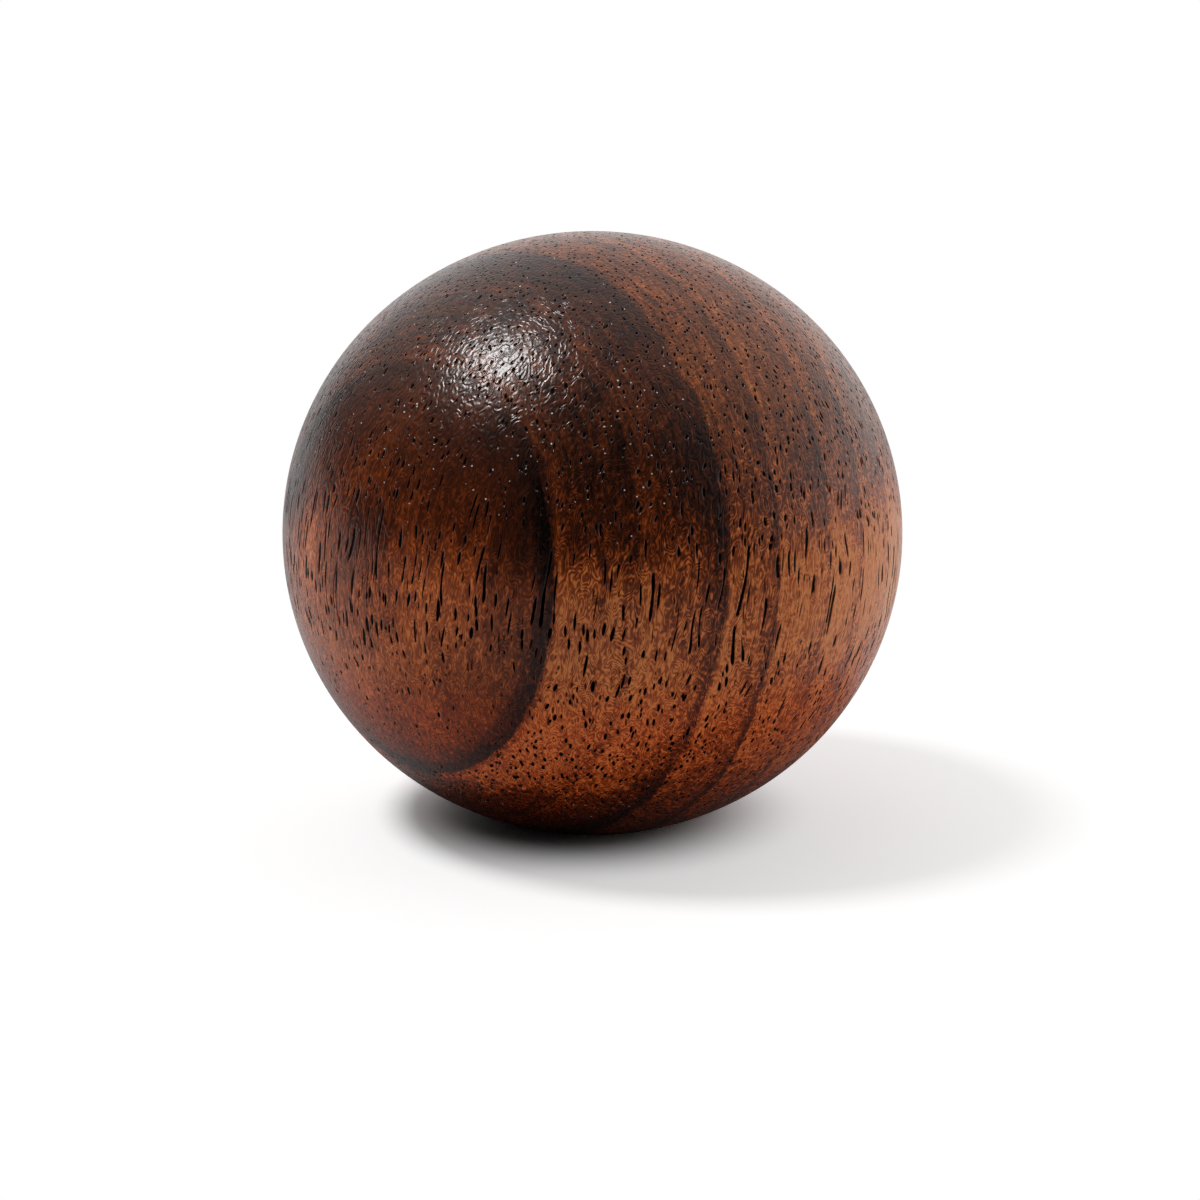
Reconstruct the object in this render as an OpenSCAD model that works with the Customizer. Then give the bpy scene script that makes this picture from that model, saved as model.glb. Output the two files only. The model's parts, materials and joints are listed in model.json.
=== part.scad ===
// Ball-shaped cabinet knob: one turned piece of walnut, with a knurled brass screw insert glued
// into its foot. The origin is the middle of the flat seat that meets the door or drawer front,
// and +Z is the turning axis. Sizes are in millimetres.

/* [Turned ball] */
// Diameter of the belly, the widest ring of the ball
ball_d = 32; // [26:0.5:45]
// How much lower the crown is than on a true sphere
flattening = 0.43; // [0.1:0.01:1.2]
// Diameter at which the plane of the seat cuts the ball
seat_d = 10; // [9:0.5:14]
// Radius that eases the rim of the seat
seat_rim_r = 1; // [0.3:0.1:1.5]

/* [Bore in the wood] */
// Depth of the bore from the seat to the shoulder of the drill point
bore_depth = 14; // [12:0.5:18]
// Included angle of the drill point
drill_angle = 118; // [90:1:140]
// Width of the chamfer at the mouth of the bore
bore_chamfer = 0.3; // [0.1:0.05:0.5]
// Glue line between the crests of the knurls and the wall of the bore
glue_line = 0.03; // [0.01:0.01:0.1]

/* [Screw insert] */
// Diameter over the crests of the knurls
insert_d = 6; // [5.6:0.1:7]
// Length from end to end
insert_l = 10; // [8:0.5:11]
// How far the insert is sunk below the seat
insert_sink = 0.4; // [0:0.1:0.8]
// Length of the plain collar at the mouth
collar_l = 0.8; // [0.5:0.1:1.5]
// How far the collar stays inside the crests of the knurls
collar_step = 0.2; // [0.1:0.05:0.3]
// Length of the plain pilot that enters the bore first
pilot_l = 1.6; // [1:0.1:2]
// How far the pilot stays inside the crests of the knurls
pilot_step = 0.35; // [0.3:0.05:0.5]
// Chamfer on the outer edges of the collar and the pilot
end_chamfer = 0.25; // [0.1:0.05:0.4]

/* [Knurls] */
// Number of teeth around each band of knurling
knurl_teeth = 24; // [16:1:30]
// Depth of a tooth from crest to root
knurl_depth = 0.3; // [0.15:0.05:0.4]
// Share of the tooth depth that the chamfer at each end of a band takes off
knurl_lead = 0.6; // [0.4:0.1:0.8]
// Width of the groove between the two bands, which holds the glue
groove_w = 1.2; // [0.6:0.1:2]
// Depth of that groove below the roots of the teeth
groove_depth = 0.15; // [0.05:0.05:0.3]

/* [Screw thread] */
// Diameter of the machine screw
screw_d = 4; // [3:0.5:4]
// Pitch of its thread
screw_pitch = 0.7; // [0.5:0.05:0.7]
// How far the countersunk ends of the thread open beyond the screw
screw_lead = 0.1; // [0.05:0.05:0.2]

/* [Hidden] */
$fn = 180;
// Overlap of a cutting tool past the face that it cuts
overcut = 1;

// The ball's section is a four-centre oval, set out on a 3-4-5 triangle. The belly arc is centred
// beside the axis and the crown and foot arcs past the middle of the ball, in the ratio of 3 to 4,
// so that the radii differ by 5 and the arcs share a tangent where the long side meets them.
ball_r = ball_d / 2;
belly_shift = 1.5 * flattening;
crown_shift = 2 * flattening;
belly_r = ball_r - belly_shift;
crown_r = belly_r + 2.5 * flattening;
tangent_x = belly_shift + belly_r * 3 / 5;

// Heights above the seat of the foot arc's centre, to a hundredth, and of the ball's middle
foot_centre_h = round(100 * sqrt(crown_r ^ 2 - (seat_d / 2) ^ 2)) / 100;
middle_h = foot_centre_h - crown_shift;

// Centre of the rounded rim, whose arc touches both the seat and the foot arc
rim_x = sqrt((crown_r - seat_rim_r) ^ 2 - (foot_centre_h - seat_rim_r) ^ 2);
rim_angle = atan2(rim_x, foot_centre_h - seat_rim_r);

bore_r = insert_d / 2 + glue_line;
drill_point_h = bore_r / tan(drill_angle / 2);

knurl_crest_r = insert_d / 2;
knurl_root_r = knurl_crest_r - knurl_depth;
insert_core_r = knurl_root_r - groove_depth;
collar_r = knurl_crest_r - collar_step;
pilot_r = knurl_crest_r - pilot_step;
knurl_l = (insert_l - collar_l - groove_w - pilot_l) / 2;

tap_r = (screw_d - screw_pitch) / 2;
screw_mouth_r = screw_d / 2 + screw_lead;
countersink_h = screw_mouth_r - tap_r;

// Half of the ball's section, with the middle of the ball at the origin
module oval_half() {
    intersection() {
        translate([0, -crown_shift]) circle(crown_r);
        translate([0, crown_shift]) circle(crown_r);
        translate([0, -ball_r]) square([tangent_x, ball_d]);
    }
    intersection() {
        translate([belly_shift, 0]) circle(belly_r);
        translate([tangent_x, -ball_r]) square([ball_r, ball_d]);
    }
}

// The sliver between the sharp rim of the seat and its rounded form
module rim_waste() {
    reach = 2 * seat_rim_r;
    translate([rim_x, seat_rim_r]) difference() {
        polygon([[0, 0], for (a = [0, rim_angle / 2, rim_angle]) reach * [sin(a), -cos(a)]]);
        circle(seat_rim_r);
    }
}

module turned_section() {
    difference() {
        intersection() {
            translate([0, middle_h]) oval_half();
            square([ball_d, ball_d]);
        }
        rim_waste();
    }
}

// Blind hole with a chamfered mouth and the cone that a twist drill leaves
module insert_bore() {
    mouth_r = bore_r + bore_chamfer;
    rotate_extrude() polygon([
        [0, -overcut], [mouth_r + overcut, -overcut], [bore_r, bore_chamfer],
        [bore_r, bore_depth], [0, bore_depth + drill_point_h]
    ]);
}

module knob_body() {
    color("#6b3a22") difference() {
        rotate_extrude() turned_section();
        insert_bore();
    }
}

// Turned blank of the insert: collar, glue groove and pilot, before the knurls
module insert_blank() {
    pilot_z = insert_l - pilot_l;
    rotate_extrude() polygon([
        [0, 0], [collar_r - end_chamfer, 0], [collar_r, end_chamfer],
        [collar_r, collar_l], [insert_core_r, collar_l],
        [insert_core_r, pilot_z], [pilot_r, pilot_z],
        [pilot_r, insert_l - end_chamfer], [pilot_r - end_chamfer, insert_l], [0, insert_l]
    ]);
}

// One band of straight knurling, chamfered at 45 degrees at both ends
module knurl_band() {
    lead_r = knurl_crest_r - knurl_lead * knurl_depth;
    intersection() {
        linear_extrude(knurl_l) polygon([
            for (i = [0 : 2 * knurl_teeth - 1])
                let (r = i % 2 == 0 ? knurl_crest_r : knurl_root_r, a = 180 * i / knurl_teeth)
                    r * [cos(a), sin(a)]
        ]);
        rotate_extrude() polygon([
            [0, 0], [lead_r, 0], [lead_r + knurl_l / 2, knurl_l / 2], [lead_r, knurl_l], [0, knurl_l]
        ]);
    }
}

// Through hole at the tapping size, countersunk at both ends
module tapped_hole() {
    rotate_extrude() polygon([
        [0, -overcut], [screw_mouth_r + overcut, -overcut], [tap_r, countersink_h],
        [tap_r, insert_l - countersink_h], [screw_mouth_r + overcut, insert_l + overcut],
        [0, insert_l + overcut]
    ]);
}

module threaded_insert() {
    color("#c9a55a") translate([0, 0, insert_sink]) difference() {
        union() {
            insert_blank();
            for (z = [collar_l, collar_l + knurl_l + groove_w]) translate([0, 0, z]) knurl_band();
        }
        tapped_hole();
    }
}

knob_body();
threaded_insert();
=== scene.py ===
"""Dresses a ball-shaped cabinet knob of turned walnut with a knurled brass screw insert.

Lengths are in metres unless a name or comment says otherwise. The wood's patterns are worked out
in millimetres, in a space whose third axis runs along the grain.
"""

import json
import logging
import math
from dataclasses import dataclass, field
from enum import Enum
from functools import reduce
from typing import Callable, NamedTuple, Sequence, Union

import bpy
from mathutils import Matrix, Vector

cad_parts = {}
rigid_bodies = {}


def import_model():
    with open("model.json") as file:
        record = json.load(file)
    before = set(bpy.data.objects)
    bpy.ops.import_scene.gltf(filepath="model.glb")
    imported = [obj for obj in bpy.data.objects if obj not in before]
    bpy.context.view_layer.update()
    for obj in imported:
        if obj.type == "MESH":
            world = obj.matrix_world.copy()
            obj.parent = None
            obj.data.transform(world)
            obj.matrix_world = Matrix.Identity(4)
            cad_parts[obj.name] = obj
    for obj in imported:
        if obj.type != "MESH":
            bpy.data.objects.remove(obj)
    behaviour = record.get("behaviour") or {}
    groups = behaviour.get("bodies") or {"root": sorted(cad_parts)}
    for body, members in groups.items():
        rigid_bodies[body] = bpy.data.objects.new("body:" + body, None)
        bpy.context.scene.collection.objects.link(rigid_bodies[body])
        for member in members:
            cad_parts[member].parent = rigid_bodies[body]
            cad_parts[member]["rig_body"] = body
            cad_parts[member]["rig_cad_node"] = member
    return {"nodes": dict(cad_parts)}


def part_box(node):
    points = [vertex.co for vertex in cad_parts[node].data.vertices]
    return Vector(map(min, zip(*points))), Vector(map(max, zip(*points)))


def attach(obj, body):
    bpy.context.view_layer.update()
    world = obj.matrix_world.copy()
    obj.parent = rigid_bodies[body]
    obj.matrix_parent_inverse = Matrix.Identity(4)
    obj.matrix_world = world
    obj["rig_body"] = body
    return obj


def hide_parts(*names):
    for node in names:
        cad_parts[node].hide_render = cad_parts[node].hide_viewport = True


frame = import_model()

MM = 0.001
WELD = 0.0005 * MM
BODY = "root"
LOG = logging.getLogger("knob")

Socket = bpy.types.NodeSocket
Value = Union[Socket, float, Sequence[float]]
Colour = tuple[float, float, float]


class Sum(Enum):
    """Operations of a Math node."""

    ADD = "ADD"
    SUBTRACT = "SUBTRACT"
    MULTIPLY = "MULTIPLY"
    DIVIDE = "DIVIDE"
    ABSOLUTE = "ABSOLUTE"
    MAXIMUM = "MAXIMUM"
    SINE = "SINE"


class VectorSum(Enum):
    """Operations of a Vector Math node."""

    ADD = "ADD"
    MULTIPLY = "MULTIPLY"
    DIVIDE = "DIVIDE"
    LENGTH = "LENGTH"
    DOT = "DOT_PRODUCT"


class Between(Enum):
    """How a colour ramp fills the space between its stops."""

    LINEAR = "LINEAR"
    EASE = "EASE"
    CONSTANT = "CONSTANT"


class Slot(Enum):
    """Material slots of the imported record."""

    WALNUT = "walnut"
    BRASS = "insert_brass"


class Measure(Enum):
    """What the look of a spot in the wood depends on."""

    RADIUS = "distance from the pith in mm"
    SEASON = "place between two rings"
    # Part of this depth is painted shade, high on the ball and at its foot.
    STAIN = "depth of the dark stain"
    FIGURE = "slow figure"
    RISE = "height above the middle of the ball in mm"
    HEIGHT = "distance above or below the middle in mm"
    BACK = "distance behind the middle in mm"


class Step(NamedTuple):
    """A change from one value to another as a measure grows or shrinks.

    Attributes:
        start: The measure at which the change starts.
        end: The measure at which it ends, above or below the start.
        before: The value up to the start.
        after: The value from the end on.
        smooth: Whether the change eases in and out.
    """

    start: float
    end: float
    before: float = 0.0
    after: float = 1.0
    smooth: bool = True


Region = tuple[tuple[Measure, Step], ...]


class Weave(NamedTuple):
    """A noise pattern.

    Attributes:
        squeeze: How tightly the pattern is packed along each axis.
        scale: Waves for each unit of the squeezed space.
        detail: Octaves of finer noise.
        rough: How strong the finer octaves are.
        swing: How far the pattern swings, where it swings about zero.
    """

    squeeze: tuple[float, float, float]
    scale: float
    detail: float = 2.0
    rough: float = 0.5
    swing: float = 1.0


@dataclass
class Graph:
    """A node tree with short ways to add and join its nodes.

    Attributes:
        tree: The node tree of a material, a world or a group.
    """

    tree: bpy.types.NodeTree

    def node(self, kind: str, **settings: object) -> bpy.types.Node:
        """Adds a node.

        Args:
            kind: The node's class name.
            settings: Values for the node's own properties.

        Returns:
            The new node.
        """
        node = self.tree.nodes.new(kind)
        for name, value in settings.items():
            setattr(node, name, value)
        return node

    def plug(self, socket: Socket, value: Value) -> None:
        """Links a socket to another, or sets its constant.

        Args:
            socket: The input to fill.
            value: An output socket, a number, or the numbers of a vector or colour.
        """
        if isinstance(value, bpy.types.NodeSocket):
            self.tree.links.new(value, socket)
        elif socket.type == "RGBA" and len(value) == 3:
            socket.default_value = (*value, 1.0)
        else:
            socket.default_value = value

    def sum(self, operation: Sum, a: Value, b: Value = 0.0) -> Socket:
        """Adds a Math node.

        Args:
            operation: What it works out.
            a: First number.
            b: Second number.

        Returns:
            The result.
        """
        node = self.node("ShaderNodeMath", operation=operation.value)
        for socket, value in zip(node.inputs, (a, b)):
            self.plug(socket, value)
        return node.outputs[0]

    def times(self, *factors: Value) -> Socket:
        """Multiplies numbers."""
        return reduce(lambda a, b: self.sum(Sum.MULTIPLY, a, b), factors)

    def plus(self, *terms: Value) -> Socket:
        """Adds numbers up."""
        return reduce(lambda a, b: self.sum(Sum.ADD, a, b), terms)

    def less(self, a: Value, b: Value) -> Socket:
        """Takes the second number from the first."""
        return self.sum(Sum.SUBTRACT, a, b)

    def fit(self, value: Value, low: Value, high: Value, out_low: Value = 0.0, out_high: Value = 1.0,
            smooth: bool = True) -> Socket:
        """Maps a range of numbers onto another, and holds the ends.

        Args:
            value: The number to map.
            low: The value that gives out_low.
            high: The value that gives out_high.
            out_low: Result at and past low.
            out_high: Result at and past high.
            smooth: Whether the step eases in and out.

        Returns:
            The mapped number.
        """
        shape = "SMOOTHSTEP" if smooth else "LINEAR"
        node = self.node("ShaderNodeMapRange", interpolation_type=shape)
        for socket, number in zip(node.inputs, (value, low, high, out_low, out_high)):
            self.plug(socket, number)
        return node.outputs[0]

    def within(self, wood: dict[Measure, Socket], region: Region) -> Socket:
        """Multiplies the steps that make up a region of the wood.

        Args:
            wood: The measures of the spot.
            region: Measures, each with the step that it takes.

        Returns:
            The product of the steps.
        """
        return self.times(*(self.fit(wood[measure], *step) for measure, step in region))

    def mix(self, share: Value, a: Value, b: Value) -> Socket:
        """Mixes two colours.

        Args:
            share: How much of the second colour is used.
            a: First colour.
            b: Second colour.

        Returns:
            The mixed colour.
        """
        node = self.node("ShaderNodeMix", data_type="RGBA")
        self.plug(node.inputs[0], share)
        self.plug(node.inputs[6], a)
        self.plug(node.inputs[7], b)
        return node.outputs[2]

    def ramp(self, place: Value, stops: Sequence[tuple[float, Union[float, Colour]]],
             between: Between = Between.LINEAR) -> Socket:
        """Adds a colour ramp.

        Args:
            place: Where along the ramp to read.
            stops: Places from 0 to 1, each with a grey or a colour.
            between: How it fills the space between the stops.

        Returns:
            The colour read.
        """
        node = self.node("ShaderNodeValToRGB")
        node.color_ramp.interpolation = between.value
        elements = node.color_ramp.elements
        elements.remove(elements[1])
        for number, (position, tone) in enumerate(stops):
            element = elements[0] if number == 0 else elements.new(position)
            element.position = position
            colour = (tone,) * 3 if isinstance(tone, float) else tone
            element.color = (*colour, 1.0)
        self.plug(node.inputs[0], place)
        return node.outputs[0]

    def vector(self, operation: VectorSum, *values: Value) -> bpy.types.Node:
        """Adds a Vector Math node.

        Args:
            operation: What it works out.
            values: The vectors that it takes.

        Returns:
            The node.
        """
        node = self.node("ShaderNodeVectorMath", operation=operation.value)
        for socket, value in zip(node.inputs, values):
            self.plug(socket, value)
        return node

    def scaled(self, vector: Value, factor: Value) -> Socket:
        """Multiplies a vector by a number for each axis."""
        return self.vector(VectorSum.MULTIPLY, vector, factor).outputs[0]

    def shifted(self, vector: Value, step: Value) -> Socket:
        """Adds two vectors."""
        return self.vector(VectorSum.ADD, vector, step).outputs[0]

    def length(self, vector: Value) -> Socket:
        """Measures how long a vector is."""
        return self.vector(VectorSum.LENGTH, vector).outputs["Value"]

    def parts(self, vector: Value) -> Sequence[Socket]:
        """Splits a vector into its three numbers.

        Args:
            vector: The vector.

        Returns:
            Its numbers.
        """
        node = self.node("ShaderNodeSeparateXYZ")
        self.plug(node.inputs[0], vector)
        return node.outputs

    def joined(self, x: Value, y: Value, z: Value) -> Socket:
        """Makes a vector of three numbers.

        Args:
            x: First number.
            y: Second number.
            z: Third number.

        Returns:
            The vector.
        """
        node = self.node("ShaderNodeCombineXYZ")
        for socket, value in zip(node.inputs, (x, y, z)):
            self.plug(socket, value)
        return node.outputs[0]

    def noise(self, place: Value, weave: Weave) -> bpy.types.Node:
        """Adds a noise texture.

        Args:
            place: Where to read it.
            weave: The pattern.

        Returns:
            The noise's node.
        """
        node = self.node("ShaderNodeTexNoise")
        self.plug(node.inputs["Vector"], self.scaled(place, weave.squeeze))
        self.plug(node.inputs["Scale"], weave.scale)
        self.plug(node.inputs["Detail"], weave.detail)
        self.plug(node.inputs["Roughness"], weave.rough)
        return node

    def level(self, place: Value, weave: Weave) -> Socket:
        """Reads a noise pattern as a number from 0 to 1."""
        return self.noise(place, weave).outputs[0]

    def swing(self, place: Value, weave: Weave) -> Socket:
        """Reads a noise pattern as a number that swings about 0."""
        return self.times(self.less(self.level(place, weave), 0.5), weave.swing)

    def cells(self, vector: Value, scale: float, flat: bool = False) -> bpy.types.Node:
        """Adds a Voronoi texture.

        Args:
            vector: Where to read it.
            scale: Cells for each unit of the vector.
            flat: Whether the cells are columns along the third axis.

        Returns:
            The texture's node.
        """
        node = self.node("ShaderNodeTexVoronoi", voronoi_dimensions="2D" if flat else "3D")
        self.plug(node.inputs["Vector"], vector)
        self.plug(node.inputs["Scale"], scale)
        return node

    def bump(self, height: Value, distance: float, strength: float = 1.0) -> Socket:
        """Adds a Bump node.

        Args:
            height: The relief.
            distance: Length of one unit of the relief.
            strength: How much of the relief is used.

        Returns:
            The bumped normal.
        """
        node = self.node("ShaderNodeBump")
        self.plug(node.inputs["Strength"], strength)
        self.plug(node.inputs["Distance"], distance)
        self.plug(node.inputs["Height"], height)
        return node.outputs[0]


def new_material(name: str) -> tuple[bpy.types.Material, Graph, bpy.types.Node]:
    """Starts a material.

    Args:
        name: The material's name.

    Returns:
        The material, its graph and its shader.
    """
    material = bpy.data.materials.new(name)
    material.use_nodes = True
    graph = Graph(material.node_tree)
    return material, graph, graph.tree.nodes["Principled BSDF"]


def new_group(name: str, inputs: Sequence[tuple[str, str]], outputs: Sequence[tuple[str, str]],
              build: Callable[[Graph, Sequence[Socket]], Sequence[Socket]]) -> bpy.types.NodeTree:
    """Builds a shader node group.

    Args:
        name: The group's name.
        inputs: Name and socket type of each input.
        outputs: Name and socket type of each output.
        build: Takes the graph and the inputs, and returns the outputs.

    Returns:
        The node group.
    """
    tree = bpy.data.node_groups.new(name, "ShaderNodeTree")
    for label, kind in inputs:
        tree.interface.new_socket(name=label, in_out="INPUT", socket_type=kind)
    for label, kind in outputs:
        tree.interface.new_socket(name=label, in_out="OUTPUT", socket_type=kind)
    graph = Graph(tree)
    entry = graph.node("NodeGroupInput")
    leave = graph.node("NodeGroupOutput")
    for socket, result in zip(leave.inputs, build(graph, entry.outputs[:len(inputs)])):
        graph.plug(socket, result)
    return tree


def placed(graph: Graph, name: str, *values: Value) -> Sequence[Socket]:
    """Places a node group in a graph.

    Args:
        graph: Where it goes.
        name: The node group's name.
        values: What its inputs take.

    Returns:
        Its outputs.
    """
    node = graph.node("ShaderNodeGroup", node_tree=bpy.data.node_groups[name])
    for socket, value in zip(node.inputs, values):
        graph.plug(socket, value)
    return node.outputs


@dataclass(frozen=True)
class Ring:
    """One growth ring's dark latewood.

    Attributes:
        radius: Distance of its outer edge from the pith, in mm.
        depth: How dark it is, from 0 to 1.
    """

    radius: float
    depth: float


@dataclass(frozen=True)
class WalnutGrain:
    """How the tree grew: its rings, its dark heart, which also carries painted shade high on the ball
    and at its foot, its vessels and its fibres, in mm.

    Attributes:
        pith: Place of the pith beside the middle of the ball.
        ring_lean: How far the pith moves for each mm along the turning axis.
        rings: The growth rings that the knob cuts, from the pith outwards.
        near: Smallest distance from the pith that the ring pattern covers.
        far: Largest distance from the pith that the ring pattern covers.
        ring_edge: Width over which a dark line gives way to the next ring's pale wood.
        broad_waver: Broad noise that bends the rings.
        fine_waver: Fine noise that bends the rings.
        dusk: How a season's wood darkens towards its end.
        line: The dark line that ends a season.
        faded_from: How much the rings near the pith fade in the dark zone, by radius.
        faded_above: Height at which they fade.
        stain: Heights along the turning axis, each with how deep the dark stain is there. High on the
        ball and at its foot it is partly the wood's own darker heart and end grain, partly painted shade.
        reach: Height of the ball's poles above its middle.
        streak: Fibres that carry the stain along.
        cloud: Broad noise that bends the stain's edge.
        stain_and_shade_lift: How far the stain comes down near the pith.
        stain_and_shade_near: How much of the stain is left near the pith.
        stain_and_shade_far: How much of it is left far from the pith.
        vessel_lean: How far the vessels move for each mm along the turning axis.
        sway: Noise that bends the vessels, which swings across them only.
        vessel_run: Where a vessel is open along its length, read by its cell and the height.
        vessel_gap: How high that noise has to be, by the share of places that hold a vessel.
        vessel_end: Length of the noise over which a vessel opens.
        vessel_size: Thickness of a vessel, by chance, as a share of what is asked.
        tube_edge: Distance from a vessel's middle at which its hollow starts, in radii.
        dip_edge: Distance at which the dip around it starts, in radii.
        lines: Noise whose level lines are the fibres.
        fibre_waves: How many fibres lie between the noise's lowest and highest level, times 2 pi.
        ripple_waves: The same for the ripples in the finish.
        grit: Fine noise that breaks the fibres up.
        curl: How dark and pale fibres are told apart.
        ray: The rays, which run from the pith outwards.
        ray_turn: Angle that lays the rays along the first axis.
        ray_edge: How dark and pale rays are told apart.
        ray_share: Share of the rays in a fleck.
        figure: Slow changes of tone.
        comb: Straight fibres, which show where they lie along the surface.
        strand: Fine strands along the rings, read by radius, place across and height.
    """

    pith: tuple[float, float] = (-51.5, -52.1)
    ring_lean: tuple[float, float] = (0.246, -0.225)
    rings: tuple[Ring, ...] = (
        Ring(57.6, 0.12),
        Ring(61.35, 1.00),
        Ring(64.9, 0.22),
        Ring(68.75, 0.80),
        Ring(71.8, 0.72),
        Ring(75.3, 0.42),
        Ring(78.0, 0.45),
        Ring(80.7, 0.50),
        Ring(84.2, 0.45),
        Ring(87.6, 0.50),
    )
    near: float = 53.0
    far: float = 93.0
    ring_edge: float = 0.14
    broad_waver: Weave = Weave((1.0, 1.0, 0.6), 0.12, 1.0, swing=1.1)
    fine_waver: Weave = Weave((1.0, 1.0, 0.35), 0.9, swing=0.4)
    dusk: Step = Step(0.3, 1.0, 0.0, 0.40)
    line: Step = Step(0.76, 0.95, 0.0, 0.60)
    faded_from: Step = Step(63.0, 62.0, 0.60, 0.75)
    faded_above: Step = Step(4.0, 10.0)
    stain: tuple[tuple[float, float], ...] = (
        (-15.0, 1.0),
        (-13.0, 1.0),
        (-11.0, 0.82),
        (-9.0, 0.12),
        (-6.0, 0.0),
        (1.2, 0.06),
        (5.0, 0.87),
        (7.5, 1.0),
        (10.5, 0.82),
        (15.6, 0.97),
    )
    reach: float = 16.0
    streak: Weave = Weave((1.0, 1.0, 0.05), 1.7, 2.0, 0.6, swing=5.0)
    cloud: Weave = Weave((1.0, 1.0, 0.5), 0.22, 1.0, swing=5.0)
    stain_and_shade_lift: Step = Step(61.8, 60.8)
    stain_and_shade_near: Step = Step(57.5, 61.5, 0.78, 1.0)
    stain_and_shade_far: Step = Step(67.5, 70.5, 1.0, 0.50)
    vessel_lean: tuple[float, float] = (0.12, 0.03)
    sway: Weave = Weave((0.6, 0.6, 0.35), 1.0, 0.0, swing=0.8)
    vessel_run: Weave = Weave((90.0, 90.0, 0.45), 1.0, 1.0)
    vessel_gap: Step = Step(0.0, 1.0, 0.75, 0.25, smooth=False)
    vessel_end: float = 0.03
    vessel_size: Step = Step(0.0, 1.0, 0.6, 1.15, smooth=False)
    tube_edge: Step = Step(1.1, 0.8)
    dip_edge: Step = Step(1.6, 0.5)
    lines: Weave = Weave((1.0, 1.0, 0.4), 1.25, 2.0, 0.45)
    fibre_waves: float = 105.0
    ripple_waves: float = 56.0
    grit: Weave = Weave((1.0, 1.0, 0.45), 5.0, 1.0, swing=5.0)
    curl: Step = Step(-0.9, 1.9)
    ray: Weave = Weave((0.22, 2.6, 1.1), 3.6, 1.0)
    ray_turn: float = math.radians(-45.0)
    ray_edge: Step = Step(0.47, 0.68)
    ray_share: float = 0.3
    figure: Weave = Weave((1.0, 1.0, 0.16), 0.5, 3.0)
    comb: Weave = Weave((1.0, 1.0, 0.06), 3.4, 2.0, 0.6)
    strand: Weave = Weave((1.0, 0.085, 0.12), 5.0, 1.0, 0.6)

    def leaned(self, g: Graph, place: Value, lean: tuple[float, float]) -> Socket:
        """Stands the grain upright, so that its fibres run along the third axis.

        Args:
            g: The graph to work in.
            place: The place in mm.
            lean: How far the grain moves for each mm along the third axis.

        Returns:
            The place seen from the upright grain.
        """
        height = g.parts(place)[2]
        return g.shifted(place, g.scaled(g.joined(height, height, 0.0), (-lean[0], -lean[1], 0.0)))

    def rings_group(self) -> bpy.types.NodeTree:
        """Builds the group that reads the growth rings.

        Returns:
            A group that takes the place in mm and gives the ring's darkness, the season, which
            runs from 0 just outside a ring to 1 at the next, and the distance from the pith in mm.
        """

        def stop(radius: float) -> float:
            """Finds a radius on the ramp."""
            return (radius - self.near) / (self.far - self.near)

        def build(g: Graph, inputs: Sequence[Socket]) -> Sequence[Socket]:
            """Joins the group's nodes.

            Args:
                g: The group's graph.
                inputs: The group's inputs.

            Returns:
                The group's outputs.
            """
            place = inputs[0]
            rise = g.parts(place)[2]
            x, y, _ = g.parts(self.leaned(g, place, self.ring_lean))
            length = g.length(g.joined(g.less(x, self.pith[0]), g.less(y, self.pith[1]), 0.0))
            waver = g.plus(g.swing(place, self.broad_waver), g.swing(place, self.fine_waver))
            radius = g.plus(length, waver)
            spot = g.fit(radius, self.near, self.far, smooth=False)
            seasons = [(0.0, 0.0)]
            depths = [(0.0, self.rings[0].depth)]
            for ring, following in zip(self.rings, self.rings[1:] + (self.rings[-1],)):
                seasons += [(stop(ring.radius), 1.0), (stop(ring.radius + self.ring_edge), 0.0)]
                depths.append((stop(ring.radius + self.ring_edge), following.depth))
            season = g.ramp(spot, seasons)
            depth = g.ramp(spot, depths, Between.CONSTANT)
            shade = g.plus(g.fit(season, *self.dusk), g.fit(season, *self.line))
            fading = g.times(g.fit(radius, *self.faded_from), g.fit(rise, *self.faded_above))
            return g.times(shade, depth, g.less(1.0, fading)), season, radius

        return new_group(
            "growth_rings",
            [("Place", "NodeSocketVector")],
            [("Darkness", "NodeSocketFloat"), ("Season", "NodeSocketFloat"),
             ("Radius", "NodeSocketFloat")],
            build,
        )

    def stain_and_shade_group(self) -> bpy.types.NodeTree:
        """Builds the group that reads the dark stain, which runs out along the fibres in streaks. High on
        the ball and at its foot it is partly the wood's own darker heart and end grain, partly painted
        shade.

        Returns:
            A group that takes the place in mm and the distance from the pith in mm, and gives how
            deep the stain is.
        """

        def stop(height: float) -> float:
            """Finds a height on the ramp."""
            return (height + self.reach) / (2.0 * self.reach)

        def build(g: Graph, inputs: Sequence[Socket]) -> Sequence[Socket]:
            """Joins the group's nodes.

            Args:
                g: The group's graph.
                inputs: The group's inputs.

            Returns:
                The group's outputs.
            """
            place, radius = inputs
            upright = self.leaned(g, place, self.vessel_lean)
            shift = g.plus(g.swing(upright, self.streak), g.swing(upright, self.cloud))
            height = g.plus(g.parts(place)[2], g.fit(radius, *self.stain_and_shade_lift), shift)
            spot = g.fit(height, -self.reach, self.reach, smooth=False)
            depth = g.ramp(spot, [(stop(z), tone) for z, tone in self.stain], Between.EASE)
            left = g.times(g.fit(radius, *self.stain_and_shade_far), g.fit(radius, *self.stain_and_shade_near))
            return (g.times(depth, left),)

        return new_group(
            "heart_stain_and_shade",
            [("Place", "NodeSocketVector"), ("Radius", "NodeSocketFloat")],
            [("Depth", "NodeSocketFloat")],
            build,
        )

    def vessels_group(self) -> bpy.types.NodeTree:
        """Builds the group that reads the open vessels, which run along the grain as fine tubes.

        Returns:
            A group that takes the place in mm, the spacing and the radius of the tubes in mm and
            the share of places that hold one, and gives the tube's mask and the dip around it.
        """

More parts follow.
